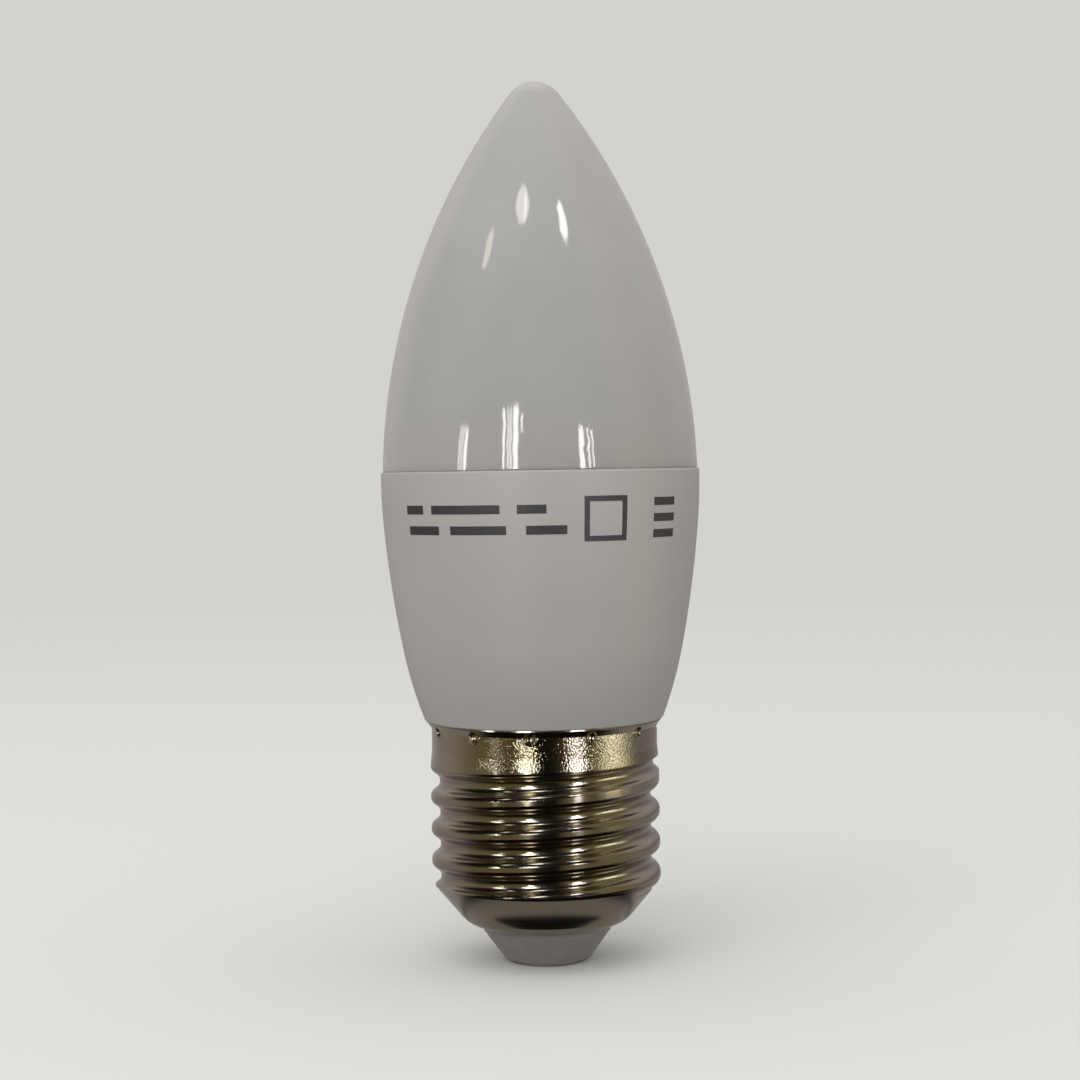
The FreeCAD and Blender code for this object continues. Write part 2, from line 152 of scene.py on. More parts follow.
opal, tree = new_material("opal polycarbonate, blow moulded and glossy")
point = add_node(tree, "TexCoord").outputs["Object"]
cloud = add_node(tree, "TexNoise", {"Vector": point, "Scale": 1 / CLOUD, "Detail": 1.0})
tones = [(0.35, "#aba9a6"), (0.65, "#aeaca9")]
milk = add_node(tree, "ValToRGB", {0: cloud.outputs[0]}, stops=tones)
height = add_node(tree, "SeparateXYZ", {0: point}).outputs["Z"]
# Painted bounce light: towards the seam the milk turns a shade warmer, as the housing's light
# would make it.
fade = {"Value": height, "From Min": seam + SEAM_BOUNCE_REACH, "From Max": seam}
seam_bounce = add_node(tree, "MapRange", fade, interpolation_type="SMOOTHSTEP")
blend = {0: seam_bounce.outputs[0], 6: milk.outputs[0], 7: linear("#aeaba7")}
body = add_node(tree, "Mix", blend, data_type="RGBA")
peel = add_node(tree, "TexNoise", {"Vector": point, "Scale": 1 / PEEL, "Detail": 0.0})
surface = add_node(tree, "Bump", {"Distance": PEEL_DEPTH, "Height": peel.outputs[0]})
skin = {
    "Base Color": body.outputs[2],
    "Roughness": 0.06,
    "IOR": 1.58,
    "Subsurface Weight": 0.6,
    "Subsurface Radius": (1.0, 1.0, 1.0),
    "Subsurface Scale": MILK_DEPTH,
    "Normal": surface.outputs[0],
}
finish_with(tree, add_node(tree, "BsdfPrincipled", skin))
print("the seam is at", round(seam / MM, 2), "mm")
give_finish("diffuser", opal)

# %% [markdown]
# The housing is a white thermoplastic, moulded in a tool with a fine blasted skin. It scatters
# what it reflects, so it shows no lamp at all, only a soft sheen, and its tone wanders slowly as
# the melt flowed. The blasted grain is finer than a pixel here, so it is drawn a little coarser,
# and just strong enough to break the sheen.

# %% Satin plastic of the housing
BLAST = 0.22 * MM
BLAST_DEPTH = 0.006 * MM
FLOW = 11.0 * MM

satin, tree = new_material("white thermoplastic, moulded satin")
point = add_node(tree, "TexCoord").outputs["Object"]
flow = add_node(tree, "TexNoise", {"Vector": point, "Scale": 1 / FLOW, "Detail": 1.0})
tones = [(0.35, "#adaaa6"), (0.65, "#b0ada9")]
body = add_node(tree, "ValToRGB", {0: flow.outputs[0]}, stops=tones)
blast = add_node(tree, "TexNoise", {"Vector": point, "Scale": 1 / BLAST, "Detail": 1.0})
surface = add_node(tree, "Bump", {"Distance": BLAST_DEPTH, "Height": blast.outputs[0]})
skin = {
    "Base Color": body.outputs[0],
    "Roughness": 0.5,
    "IOR": 1.5,
    "Normal": surface.outputs[0],
}
finish_with(tree, add_node(tree, "BsdfPrincipled", skin))
give_finish("housing", satin)

# %% [markdown]
# The shell is rolled from thin steel sheet and plated with nickel, a warm, rather dark white.
# Four marks of its making show on it. They are finer than the sheet is thick, so each is a bump
# in the same material, laid over the one before. The marks run round the axis, so the material
# first has to know how high a point lies and at which azimuth. Object coordinates give both,
# because every piece lies in the bulb's own frame.


# %% Start of the nickel plate
def height_and_azimuth(tree, point):
    """Sockets for a point's height and for its azimuth in radians."""
    split = add_node(tree, "SeparateXYZ", {0: point})
    ahead = add_node(tree, "Math", {0: split.outputs["Y"], 1: -1.0}, operation="MULTIPLY")
    sides = {0: split.outputs["X"], 1: ahead.outputs[0]}
    azimuth = add_node(tree, "Math", sides, operation="ARCTAN2")
    return split.outputs["Z"], azimuth.outputs[0]


nickel, tree = new_material("nickel plate on rolled steel sheet")
point = add_node(tree, "TexCoord").outputs["Object"]
height, azimuth = height_and_azimuth(tree, point)
shell_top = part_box("screw_shell")[1].z
print("the shell's rim is at", round(shell_top / MM, 2), "mm")

# %% [markdown]
# The first mark is the grain of the sheet on the plain band. It breaks every lamp into sparks
# there, because each grain throws the light its own way. The real grain is finer than a pixel,
# so it is drawn coarser, and a mask with soft edges keeps it on the band.

# %% Grain of the sheet
BAND_BOTTOM = shell_top - 4.55 * MM
BAND_TOP = shell_top - 0.87 * MM
EDGE = 0.1 * MM
GRAIN = 0.20 * MM
GRAIN_DEPTH = 0.035 * MM


def between(tree, value, low, high, soft):
    """A socket that is 1 where a value lies between two limits and fades to 0 past them."""
    rise = {"Value": value, "From Min": low - soft, "From Max": low}
    fall = {"Value": value, "From Min": high + soft, "From Max": high}
    both = {
        0: add_node(tree, "MapRange", rise).outputs[0],
        1: add_node(tree, "MapRange", fall).outputs[0],
    }
    return add_node(tree, "Math", both, operation="MINIMUM").outputs[0]


on_band = between(tree, height, BAND_BOTTOM, BAND_TOP, EDGE)
speckle = add_node(tree, "TexNoise", {"Vector": point, "Scale": 1 / GRAIN, "Detail": 1.0})
relief = {"Strength": on_band, "Distance": GRAIN_DEPTH, "Height": speckle.outputs[0]}
grain = add_node(tree, "Bump", relief)
print("the plain band is", round((BAND_TOP - BAND_BOTTOM) / MM, 2), "mm high")

# %% [markdown]
# The second mark is a row of tiny dots that the roll leaves just below every crest. Where the
# surface leans down by a set amount is the same place on every turn, so the normal finds the
# row, and a wave round the axis cuts it into dots. They are drawn coarser than the real ones, a
# whole number to a turn, so that they meet at the back.

# %% Dots below the crests
CREST_RADIUS = 13.17 * MM
DOT_SPACING = 0.28 * MM
DOT_DEPTH = 0.012 * MM
DOT_LEAN = 0.31
DOT_SPREAD = 0.07

normal = add_node(tree, "NewGeometry").outputs["Normal"]
lean = add_node(tree, "SeparateXYZ", {0: normal}).outputs["Z"]
row = between(tree, lean, -DOT_LEAN - DOT_SPREAD, -DOT_LEAN + DOT_SPREAD, DOT_SPREAD)
threaded = between(tree, height, 0.0, BAND_BOTTOM, EDGE)
mask = add_node(tree, "Math", {0: row, 1: threaded}, operation="MINIMUM")
dots_a_turn = round(2 * math.pi * CREST_RADIUS / DOT_SPACING)
turns = add_node(tree, "Math", {0: azimuth, 1: dots_a_turn}, operation="MULTIPLY")
wave = add_node(tree, "Math", {0: turns.outputs[0]}, operation="SINE")
relief = {
    "Strength": mask.outputs[0],
    "Distance": DOT_DEPTH,
    "Height": wave.outputs[0],
    "Normal": grain.outputs[0],
}
dots = add_node(tree, "Bump", relief)
print("each turn of the thread has", dots_a_turn, "dots")

# %% [markdown]
# The third mark is the round lip that the punch raises round each staking dent. The dents are in
# the solid, evenly spaced, so wrapping the azimuth to one spacing brings every point beside its
# nearest dent. The distance from there makes the ring, and one recipe serves all the dents.

# %% Lips of the dents
DENTS = 12
DENT_AZIMUTH = 23.0
DENT_DROP = 1.02 * MM
DENT_MOUTH = 0.585 * MM
BAND_RADIUS = 12.98 * MM
LIP_WIDTH = 0.16 * MM
LIP_DEPTH = 0.07 * MM
LIP_RADIUS = DENT_MOUTH + LIP_WIDTH / 3

half = math.pi / DENTS
turned = {0: azimuth, 1: -math.radians(DENT_AZIMUTH)}
turned = add_node(tree, "Math", turned, operation="ADD")
nearest = {0: turned.outputs[0], 1: half, 2: -half}
nearest = add_node(tree, "Math", nearest, operation="WRAP")
along = {0: nearest.outputs[0], 1: BAND_RADIUS}
along = add_node(tree, "Math", along, operation="MULTIPLY")
above = add_node(tree, "Math", {0: height, 1: DENT_DROP - shell_top}, operation="ADD")
beside = add_node(tree, "CombineXYZ", {"X": along.outputs[0], "Y": above.outputs[0]})
reach = add_node(tree, "VectorMath", {0: beside.outputs[0]}, operation="LENGTH")
off = {0: reach.outputs["Value"], 1: -LIP_RADIUS}
off = add_node(tree, "Math", off, operation="ADD")
off = add_node(tree, "Math", {0: off.outputs[0]}, operation="ABSOLUTE")
ring = {"Value": off.outputs[0], "From Min": LIP_WIDTH, "From Max": 0.0}
ring = add_node(tree, "MapRange", ring, interpolation_type="SMOOTHSTEP")
relief = {"Distance": LIP_DEPTH, "Height": ring.outputs[0], "Normal": dots.outputs[0]}
lips = add_node(tree, "Bump", relief)
print("the dents are", round(math.degrees(2 * half), 1), "degrees apart")

# %% [markdown]
# The fourth mark is the broken edge of the flared rim, which draws a thin bright line under the
# housing. A bump that falls away in the rim's last part tilts the light as a rounded edge would.

# %% Edge of the rim
RIM_EDGE = 0.17 * MM
RIM_DEPTH = 0.25 * MM

slope = {"Value": height, "From Min": shell_top, "From Max": shell_top - RIM_EDGE}
slope = add_node(tree, "MapRange", slope)
relief = {"Distance": RIM_DEPTH, "Height": slope.outputs[0], "Normal": lips.outputs[0]}
rim = add_node(tree, "Bump", relief)
print("the rim's edge is", round(RIM_EDGE / MM, 2), "mm wide")

# %% [markdown]
# All four marks come together in the plate. It is a metal, so its tone colours what it mirrors.
# Below the band the roll has rubbed it a little, so its sparks are softer there.

# %% Nickel plate of the shell
BAND_ROUGHNESS = 0.09
THREAD_ROUGHNESS = 0.15

rubbed = {"Value": on_band, "To Min": THREAD_ROUGHNESS, "To Max": BAND_ROUGHNESS}
rubbed = add_node(tree, "MapRange", rubbed)
skin = {
    "Base Color": linear("#a0998c"),
    "Metallic": 1.0,
    "Roughness": rubbed.outputs[0],
    "Normal": rim.outputs[0],
}
finish_with(tree, add_node(tree, "BsdfPrincipled", skin))
give_finish("screw_shell", nickel)

# %% [markdown]
# The insulator is a hard moulded plastic, a shade greyer than the housing and a little glossier.
# The powder that fills it leaves its tone faintly mottled, and one fine noise gives that.

# %% Insulating plastic
MOTTLE = 1.1 * MM

insulating, tree = new_material("hard insulating plastic, moulded")
point = add_node(tree, "TexCoord").outputs["Object"]
mottle = add_node(tree, "TexNoise", {"Vector": point, "Scale": 1 / MOTTLE, "Detail": 2.0})
tones = [(0.35, "#93908a"), (0.65, "#999690")]
body = add_node(tree, "ValToRGB", {0: mottle.outputs[0]}, stops=tones)
skin = {"Base Color": body.outputs[0], "Roughness": 0.4, "IOR": 1.5}
finish_with(tree, add_node(tree, "BsdfPrincipled", skin))
give_finish("insulator", insulating)

# %% [markdown]
# The contact is a stamped disc with the same plate as the shell, rubbed a little duller. Rubbing
# is uneven, so its roughness wanders between two limits.

# %% Plate of the contact
RUB = 0.5 * MM
RUB_LEAST = 0.25
RUB_MOST = 0.4

stamped, tree = new_material("nickel plated contact, stamped")
point = add_node(tree, "TexCoord").outputs["Object"]
rub = add_node(tree, "TexNoise", {"Vector": point, "Scale": 1 / RUB, "Detail": 2.0})
dull = {"Value": rub.outputs[0], "To Min": RUB_LEAST, "To Max": RUB_MOST}
dull = add_node(tree, "MapRange", dull)
skin = {"Base Color": linear("#9c968f"), "Metallic": 1.0, "Roughness": dull.outputs[0]}
finish_with(tree, add_node(tree, "BsdfPrincipled", skin))
give_finish("centre_contact", stamped)

# %% [markdown]
# The print and the studio cards are both bands that run round the axis. The plain way to make
# one is to draw its outline as a chain of points and spin it. Without a window, a positive angle
# about +Z turns the wrong way for these azimuths, so the spin's axis points down.


# %% Helpers that turn an outline round the bulb
def start_piece(name):
    """An empty object in edit mode, ready for points."""
    bpy.ops.object.select_all(action="DESELECT")
    bpy.ops.mesh.primitive_circle_add(vertices=3, radius=MM)
    piece = bpy.context.object
    piece.name = name
    bpy.ops.object.mode_set(mode="EDIT")
    bpy.ops.mesh.select_all(action="SELECT")
    bpy.ops.mesh.delete(type="VERT")
    return piece


def add_point():
    """One selected vertex at the origin: a small ring merged into its centre."""
    bpy.ops.mesh.select_all(action="DESELECT")
    bpy.ops.mesh.primitive_circle_add(vertices=4, radius=MM)
    bpy.ops.mesh.merge(type="CENTER")


def sweep_outline(outline, start, end, steps):
    """Draw an outline of (radius, height) at azimuth start and spin it to azimuth end."""
    add_point()
    spot = (0.0, 0.0, 0.0)
    for index, (radius, height) in enumerate(outline):
        following = round_the_bulb(radius, height, start)
        step = [b - a for a, b in zip(spot, following)]
        if index:
            bpy.ops.mesh.extrude_region_move(TRANSFORM_OT_translate={"value": step})
        else:
            bpy.ops.transform.translate(value=step)
        spot = following
    for _ in outline[1:]:
        bpy.ops.mesh.select_more()
    turn = math.radians(end - start)
    bpy.ops.mesh.spin(steps=steps, angle=turn, center=(0, 0, 0), axis=(0, 0, -1))


print("outlines are spun round x = 0 and y = 0")

# %% [markdown]
# The housing carries a dark pad print: two rows of short bars, an open square and three bars at
# its right. Every mark is a patch between two heights in millimetres and two azimuths in
# degrees, so the whole print is a list of four numbers a mark.

# %% Places of the print
INK_STROKE = 1.0
INK_ROWS = {52.05: [(-54, -45), (-41, -14), (-8, 2)], 49.75: [(-53, -38), (-33, -12), (-5, 9)]}
INK_SQUARE = [
    (52.8, 53.4, 15, 31),
    (48.4, 49.0, 15, 31),
    (49.0, 52.8, 15, 17),
    (49.0, 52.8, 29, 31),
]
INK_BAR = 0.9
INK_BARS = [(low, low + INK_BAR, 43, 54) for low in (48.6, 50.4, 52.2)]

marks = [
    (middle - INK_STROKE / 2, middle + INK_STROKE / 2, first, last)
    for middle, spans in INK_ROWS.items()
    for first, last in spans
]
marks += INK_SQUARE + INK_BARS
print("the print has", len(marks), "marks")

# %% [markdown]
# Ink is a film with a crisp edge, so each mark is a small curved sheet of its own and not a
# pattern in the housing's material. The sheets are spun just outside the housing, one face to a
# degree and fine enough in height to follow its curve. The spin leaves their backs outwards, so
# they are turned over.

# %% Sheets of the print
INK_STEP = 0.4
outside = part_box("housing")[1].x + MM


def ink_mark(low, high, first, last):
    """One mark between two heights in millimetres and two azimuths in degrees."""
    rows = math.ceil((high - low) / INK_STEP)
    outline = [(outside, (low + (high - low) * row / rows) * MM) for row in range(rows + 1)]
    sweep_outline(outline, first, last, last - first)


ink = start_piece("ink_marks")
for mark in marks:
    ink_mark(*mark)
bpy.ops.mesh.select_all(action="SELECT")
bpy.ops.mesh.flip_normals()
bpy.ops.object.mode_set(mode="OBJECT")
print("the sheets of the print have", len(ink.data.polygons), "faces")

# %% [markdown]
# A shrinkwrap draws the sheets onto the housing, a hair above it, and a solidify gives them the
# thickness of a printed film, outwards from there. Both are applied, so that the film is plain
# mesh that any program can read.

# %% Film of ink
INK_LIFT = 0.006 * MM
INK_THICKNESS = 0.012 * MM

wrap = ink.modifiers.new("wrap", "SHRINKWRAP")
wrap.target = frame["nodes"]["housing"]
wrap.wrap_method = "NEAREST_SURFACEPOINT"
wrap.wrap_mode = "ABOVE_SURFACE"
wrap.offset = INK_LIFT
bpy.ops.object.modifier_apply(modifier=wrap.name)
film = ink.modifiers.new("film", "SOLIDIFY")
film.thickness = INK_THICKNESS
film.offset = 1.0
bpy.ops.object.modifier_apply(modifier=film.name)
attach(ink, "root")
print("the film of ink has", len(ink.data.polygons), "faces")

# %% [markdown]
# The ink itself is a matt, faintly violet black. It covers a little unevenly, on the same fine
# scale as the blasted skin below it, so it takes its pattern from the same size.

# %% Dark ink
dark_ink, tree = new_material("dark pad-printing ink")
point = add_node(tree, "TexCoord").outputs["Object"]
speck = add_node(tree, "TexNoise", {"Vector": point, "Scale": 1 / BLAST, "Detail": 1.0})
tones = [(0.3, "#2f2b33"), (0.7, "#3b3740")]
body = add_node(tree, "ValToRGB", {0: speck.outputs[0]}, stops=tones)
skin = {"Base Color": body.outputs[0], "Roughness": 0.5}
finish_with(tree, add_node(tree, "BsdfPrincipled", skin))
ink.data.materials.append(dark_ink)
print(ink.name, "is", dark_ink.name)

# %% [markdown]
# The bulb stands on a pale floor that keeps its shadow. Far from the bulb the floor fades to the
# background's own colour, so the two run into each other with no line. The floor bounces less
# light up than it shows, so that the underside of the housing and the cap stay darker. Light
# Path tells the two apart: what the camera, a mirror or glass sees, and all other light.

# %% Paint of the floor
BACKGROUND = "#d3d2cf"
FLOOR_TONE = "#d0cfcc"
BOUNCE_TONE = "#8f8e8b"
FADE_START = 0.35
FADE_END = 1.1


def camera_or_mirror(tree):
    """A socket that is 1 for what the camera, a reflection or glass sees, and 0 otherwise."""
    ray = add_node(tree, "LightPath").outputs
    seen = {0: ray["Is Camera Ray"], 1: ray["Is Glossy Ray"]}
    direct = add_node(tree, "Math", seen, operation="MAXIMUM")
    seen = {0: direct.outputs[0], 1: ray["Is Transmission Ray"]}
    return add_node(tree, "Math", seen, operation="MAXIMUM").outputs[0]


floor_paint, tree = new_material("pale matt studio floor")
seen = camera_or_mirror(tree)
blend = {0: seen, 6: linear(BOUNCE_TONE), 7: linear(FLOOR_TONE)}
tone = add_node(tree, "Mix", blend, data_type="RGBA")
matt = add_node(tree, "BsdfDiffuse", {"Color": tone.outputs[2]})
glow = add_node(tree, "Emission", {"Color": linear(BACKGROUND)})
point = add_node(tree, "TexCoord").outputs["Object"]
away = add_node(tree, "VectorMath", {0: point}, operation="LENGTH").outputs["Value"]
fade = {"Value": away, "From Min": FADE_START, "From Max": FADE_END}
fade = add_node(tree, "MapRange", fade, interpolation_type="SMOOTHSTEP")
faded = add_node(tree, "Math", {0: fade.outputs[0], 1: seen}, operation="MULTIPLY")
blend = {0: faded.outputs[0], 1: matt.outputs[0], 2: glow.outputs[0]}
finish_with(tree, add_node(tree, "MixShader", blend))
print("the floor fades out between", FADE_START, "and", FADE_END, "m")

# %% [markdown]
# The floor itself is one large flat sheet. It reaches well past the place where it has faded, so
# its edge shows in no view.

# %% Floor
FLOOR_SIZE = 8.0

bpy.ops.object.select_all(action="DESELECT")
bpy.ops.mesh.primitive_plane_add(size=FLOOR_SIZE)
floor = bpy.context.object
floor.name = "studio_floor"
floor.data.materials.append(floor_paint)
print("the floor is", FLOOR_SIZE, "m wide")

# %% [markdown]
# The world lights everything evenly with white. The camera and every reflection see the
# background's grey instead, which leaves the light on the bulb as it is.

# %% World
WORLD_LIGHT = 1.0

world = bpy.data.worlds.new("soft studio light")
bpy.context.scene.world = world
world.use_nodes = True
tree = world.node_tree
tree.nodes.clear()
lit = add_node(tree, "Background", {"Color": linear("#ffffff"), "Strength": WORLD_LIGHT})
grey = add_node(tree, "Background", {"Color": linear(BACKGROUND), "Strength": 1.0})
sky = {0: camera_or_mirror(tree), 1: lit.outputs[0], 2: grey.outputs[0]}
sky = add_node(tree, "MixShader", sky)
add_node(tree, "OutputWorld", {"Surface": sky.outputs[0]})
print("the world gives", WORLD_LIGHT, "of full light")

# %% [markdown]
# Polished metal looks like what stands round it. In a plain pale room a nickel cap is pale all
# over, so a photographer puts cards round it. These cards are one spun sheet: a ground that lies
# just above the floor, a low wall, and a canopy that closes over the bulb. They are seen in
# reflections only, so they take no light from the body and cast no shadow.

# %% Shape of the studio cards
CARD_LIFT = 0.2 * MM
CARD_WALL = 0.17
CARD_OUTLINE = [
    (5.5 * MM, CARD_LIFT),
    (CARD_WALL, CARD_LIFT),
    (CARD_WALL, 0.12),
    (0.36, 0.30),
    (0.28, 0.42),
    (0.15, 0.50),
    (0.5 * MM, 0.52),
]
CARD_STEPS = 72

cards = start_piece("studio_cards")
sweep_outline(CARD_OUTLINE, -180, 180, CARD_STEPS)
bpy.ops.object.mode_set(mode="OBJECT")
cards.visible_camera = False
cards.visible_diffuse = False
cards.visible_shadow = False
cards.visible_transmission = False
print("the cards have", len(cards.data.polygons), "faces")

# %% [markdown]
# The wall gives the cap its long upright shades: grey at its two edges, deep brown in the front
# and golden at the right. The canopy is what the parts that lean up mirror: it is nearly black
# in front, so the thread gets its dark lines. Both are lists of azimuths in degrees and tones,
# which a colour ramp reads off a full turn.

# %% Tones of the wall and the canopy
WALL_TONES = [
    (-180, "#b0aca8"),
    (-125, "#aaa6a2"),
    (-108, "#b4aea3"),
    (-98, "#aca492"),
    (-84, "#988f78"),
    (-60, "#857b56"),
    (-40, "#675e3f"),
    (-14, "#5c5334"),
    (14, "#5c5236"),
    (45, "#6d633e"),
    (53, "#968b58"),
    (92, "#ab9f6e"),
    (100, "#8c8779"),
    (112, "#87817e"),
    (180, "#a39d9a"),
]
CANOPY_TONES = [
    (-180, "#bdb9b6"),
    (-128, "#bdb9b6"),
    (-104, "#1c1915"),
    (46, "#1c1915"),
    (58, "#948b6c"),
    (92, "#948b6c"),
    (116, "#bdb9b6"),
    (180, "#bdb9b6"),
]

card_paint, tree = new_material("studio cards, glowing")
point = add_node(tree, "TexCoord").outputs["Object"]
height, azimuth = height_and_azimuth(tree, point)
full_turn = {"Value": azimuth, "From Min": -math.pi, "From Max": math.pi}
full_turn = add_node(tree, "MapRange", full_turn).outputs[0]
ramps = []
for card_tones in (WALL_TONES, CANOPY_TONES):
    stops = [((angle + 180) / 360, tone) for angle, tone in card_tones]
    ramps.append(add_node(tree, "ValToRGB", {0: full_turn}, stops=stops).outputs[0])
wall, canopy = ramps
print("the wall has", len(WALL_TONES), "tones and the canopy", len(CANOPY_TONES))

# %% [markdown]
# The ground is what the cone and the undersides of the thread mirror. Its tones run outwards, by
# radii in millimetres: grey close under the cone, then a dark ring where the bulb's own shadow
# would be, then golden brown out to the wall.

# %% Tones of the ground
DARK_RING = 14.5
GROUND_TONES = [
    (5, "#807b75"),
    (11, "#928c87"),
    (13, "#928c87"),
    (DARK_RING, "#15110b"),
    (30, "#15110b"),
    (50, "#7d7248"),
    (90, "#857a52"),
    (170, "#5a5138"),
]

flat = {0: point, 1: (1.0, 1.0, 0.0)}
flat = add_node(tree, "VectorMath", flat, operation="MULTIPLY")
radius = add_node(tree, "VectorMath", {0: flat.outputs[0]}, operation="LENGTH").outputs["Value"]
outward = add_node(tree, "MapRange", {"Value": radius, "From Max": CARD_WALL})
stops = [(out * MM / CARD_WALL, tone) for out, tone in GROUND_TONES]
ground = add_node(tree, "ValToRGB", {0: outward.outputs[0]}, stops=stops).outputs[0]
print("the ground has", len(GROUND_TONES), "tones")

# %% [markdown]
# Two patches lie on the ground, and a share from 0 to 1 says where each covers it. At both sides
# the ground is grey, fully so a little way into the dark ring and about half so under the cone.
# In front, a crescent of shade gives the cone its dark mark: it is what one circle covers and a
# second one, set a little further back, leaves free.

# %% Patches on the ground
SIDE_TONE = "#a19b9a"
SIDE_START = 66
SIDE_END = 100
SIDE_NEAR = 0.45
SIDE_FULL = 16
SHADE_TONE = "#100f0c"
SHADE_OUTER = 11.2
SHADE_BACK = 6.5
SHADE_CUT = 15.8
SHADE_EDGE = 0.15
FAR = 1.0

either = add_node(tree, "Math", {0: azimuth}, operation="ABSOLUTE").outputs[0]
beside = {
    "Value": either,
    "From Min": math.radians(SIDE_START),
    "From Max": math.radians(SIDE_END),
}
beside = add_node(tree, "MapRange", beside, interpolation_type="SMOOTHSTEP")
close = {
    "Value": radius,
    "From Min": DARK_RING * MM,
    "From Max": SIDE_FULL * MM,
    "To Min": SIDE_NEAR,
}
close = add_node(tree, "MapRange", close)
side = {0: beside.outputs[0], 1: close.outputs[0]}
side = add_node(tree, "Math", side, operation="MULTIPLY").outputs[0]

inside = between(tree, radius, 0.0, SHADE_OUTER * MM, SHADE_EDGE * MM)
centre = {0: point, 1: (0.0, SHADE_BACK * MM, 0.0)}
behind = add_node(tree, "VectorMath", centre, operation="DISTANCE").outputs["Value"]
beyond = between(tree, behind, SHADE_CUT * MM, FAR, SHADE_EDGE * MM)
crescent = {0: inside, 1: beyond}
crescent = add_node(tree, "Math", crescent, operation="MINIMUM").outputs[0]
thickest = SHADE_OUTER + SHADE_BACK - SHADE_CUT
print("the crescent is", round(thickest, 1), "mm wide in the middle")

# %% [markdown]
# Straight ahead stands nothing that could light the metal, only the dark behind the camera. It
# covers the ground and the wall in a narrow wedge, which starts where the dark ring does.

# %% Dark wedge in front
FRONT_TONE = "#14110b"
FRONT_START = 22
FRONT_END = 8

ahead = {
    "Value": either,
    "From Min": math.radians(FRONT_START),
    "From Max": math.radians(FRONT_END),
}
ahead = add_node(tree, "MapRange", ahead, interpolation_type="SMOOTHSTEP")
outer = between(tree, radius, DARK_RING * MM, FAR, MM)
front = {0: ahead.outputs[0], 1: outer}
front = add_node(tree, "Math", front, operation="MULTIPLY").outputs[0]
print("the wedge is", 2 * FRONT_START, "degrees wide at most")

# %% [markdown]
# All the tones lie over each other like sheets of paper, and each share says where a sheet
# covers what is below it. The wall starts at its foot, and the canopy comes in softly above it.
# A loop mixes them from the ground up, and the cards glow with the result, because a card that
# had to be lit would add its own light to the bulb.

# %% Paint of the cards
WALL_FOOT = 2 * CARD_LIFT
WALL_CLEAR = 8 * CARD_LIFT
CANOPY_LOW = 0.03
CANOPY_HIGH = 0.10

standing = {"Value": height, "From Min": WALL_FOOT, "From Max": WALL_CLEAR}
standing = add_node(tree, "MapRange", standing).outputs[0]
over = {"Value": height, "From Min": CANOPY_LOW, "From Max": CANOPY_HIGH}
over = add_node(tree, "MapRange", over, interpolation_type="SMOOTHSTEP").outputs[0]
sheets = [
    (side, linear(SIDE_TONE)),
    (crescent, linear(SHADE_TONE)),
    (standing, wall),
    (front, linear(FRONT_TONE)),
    (over, canopy),
]
shown = ground
for share, tone in sheets:
    shown = add_node(tree, "Mix", {0: share, 6: shown, 7: tone}, data_type="RGBA").outputs[2]
# The cards glow with these tones, painted reflections of the surroundings that no lamp lights.
finish_with(tree, add_node(tree, "Emission", {"Color": shown}))
cards.data.materials.append(card_paint)
print("the cards' paint has", len(tree.nodes), "nodes")

# %% [markdown]
# Two kinds of lamp light the bulb. One big softbox, up and to the left, gives the body its shade
# and is left out of reflections. Narrow strips and small panels give the streaks on the dome and
# the sparks on the thread, and are seen in reflections only. So each of the two jobs can be
# tuned by itself. The helper is told how bright a lamp looks, and gives it the power for its
# size, so that a lamp can be made wider without a change to its streak's brightness.

# %% Softbox
SOFTBOX_AZIMUTH = -22
SOFTBOX_ELEVATION = 45
SOFTBOX_OUT = 0.55
SOFTBOX_UP = 0.61
SOFTBOX_SIZE = 0.7
SOFTBOX_RADIANCE = 1.6


def hang_lamp(name, spot, size, aim, radiance, colour, mirrored=True, shape="RECTANGLE"):
    """A lamp that faces the bulb: seen in reflections only or, not mirrored, giving light only.

    aim is its azimuth, its elevation and its lean, in degrees.
    """
    azimuth, elevation, lean = aim
    data = bpy.data.lights.new(name, "AREA")
    data.shape = shape
    data.size, data.size_y = size
    data.energy = radiance * math.pi * data.size * data.size_y
    data.color = linear(colour)[:3]
    lamp = bpy.data.objects.new(name, data)
    bpy.context.scene.collection.objects.link(lamp)
    lamp.location = spot
    lamp.rotation_euler = [math.radians(turn) for turn in (90 - elevation, lean, azimuth)]
    lamp.visible_camera = False
    lamp.visible_glossy = mirrored
    lamp.visible_diffuse = not mirrored


spot = round_the_bulb(SOFTBOX_OUT, SOFTBOX_UP, SOFTBOX_AZIMUTH)
size = (SOFTBOX_SIZE, SOFTBOX_SIZE)
aim = (SOFTBOX_AZIMUTH, SOFTBOX_ELEVATION, 0)
hang_lamp("softbox", spot, size, aim, SOFTBOX_RADIANCE, "#ffffff", mirrored=False)
print("the softbox gives", round(bpy.data.lights["softbox"].energy, 2), "W")

# %% [markdown]
# The streaks on the dome are the mirror images of thin upright strips, which stand on a circle
# round the bulb: a group at the left, one left of the middle with a short strip beside it, and
# one at the right. A group gives its foot in millimetres, its lean in degrees and its tone, and
# each of its strips an azimuth and a width in degrees and a top in millimetres.

# %% Strips for the dome
STRIP_DISTANCE = 0.16
STRIP_RADIANCE = 14.0
STRIPS = {
    "left": (45, 12, "#fffefa", [(-57.3, 0.8, 87), (-55.1, 0.9, 88), (-52.4, 1.9, 88)]),
    "middle": (
        45,
        2,
        "#fffef8",
        [(-24.4, 1.5, 100), (-21.3, 0.9, 100), (-19.5, 0.9, 100), (-16.2, 3.3, 101)],
    ),
    "short": (86, 0, "#fffef8", [(-12.0, 1.0, 98)]),
    "right": (45, -8, "#fdf8fd", [(28.9, 3.4, 88), (34.0, 1.3, 87), (36.9, 1.0, 86)]),
}


def across(distance, angle):
    """The width that a lamp of that angle has at a distance."""
    return 2 * distance * math.tan(math.radians(angle / 2))


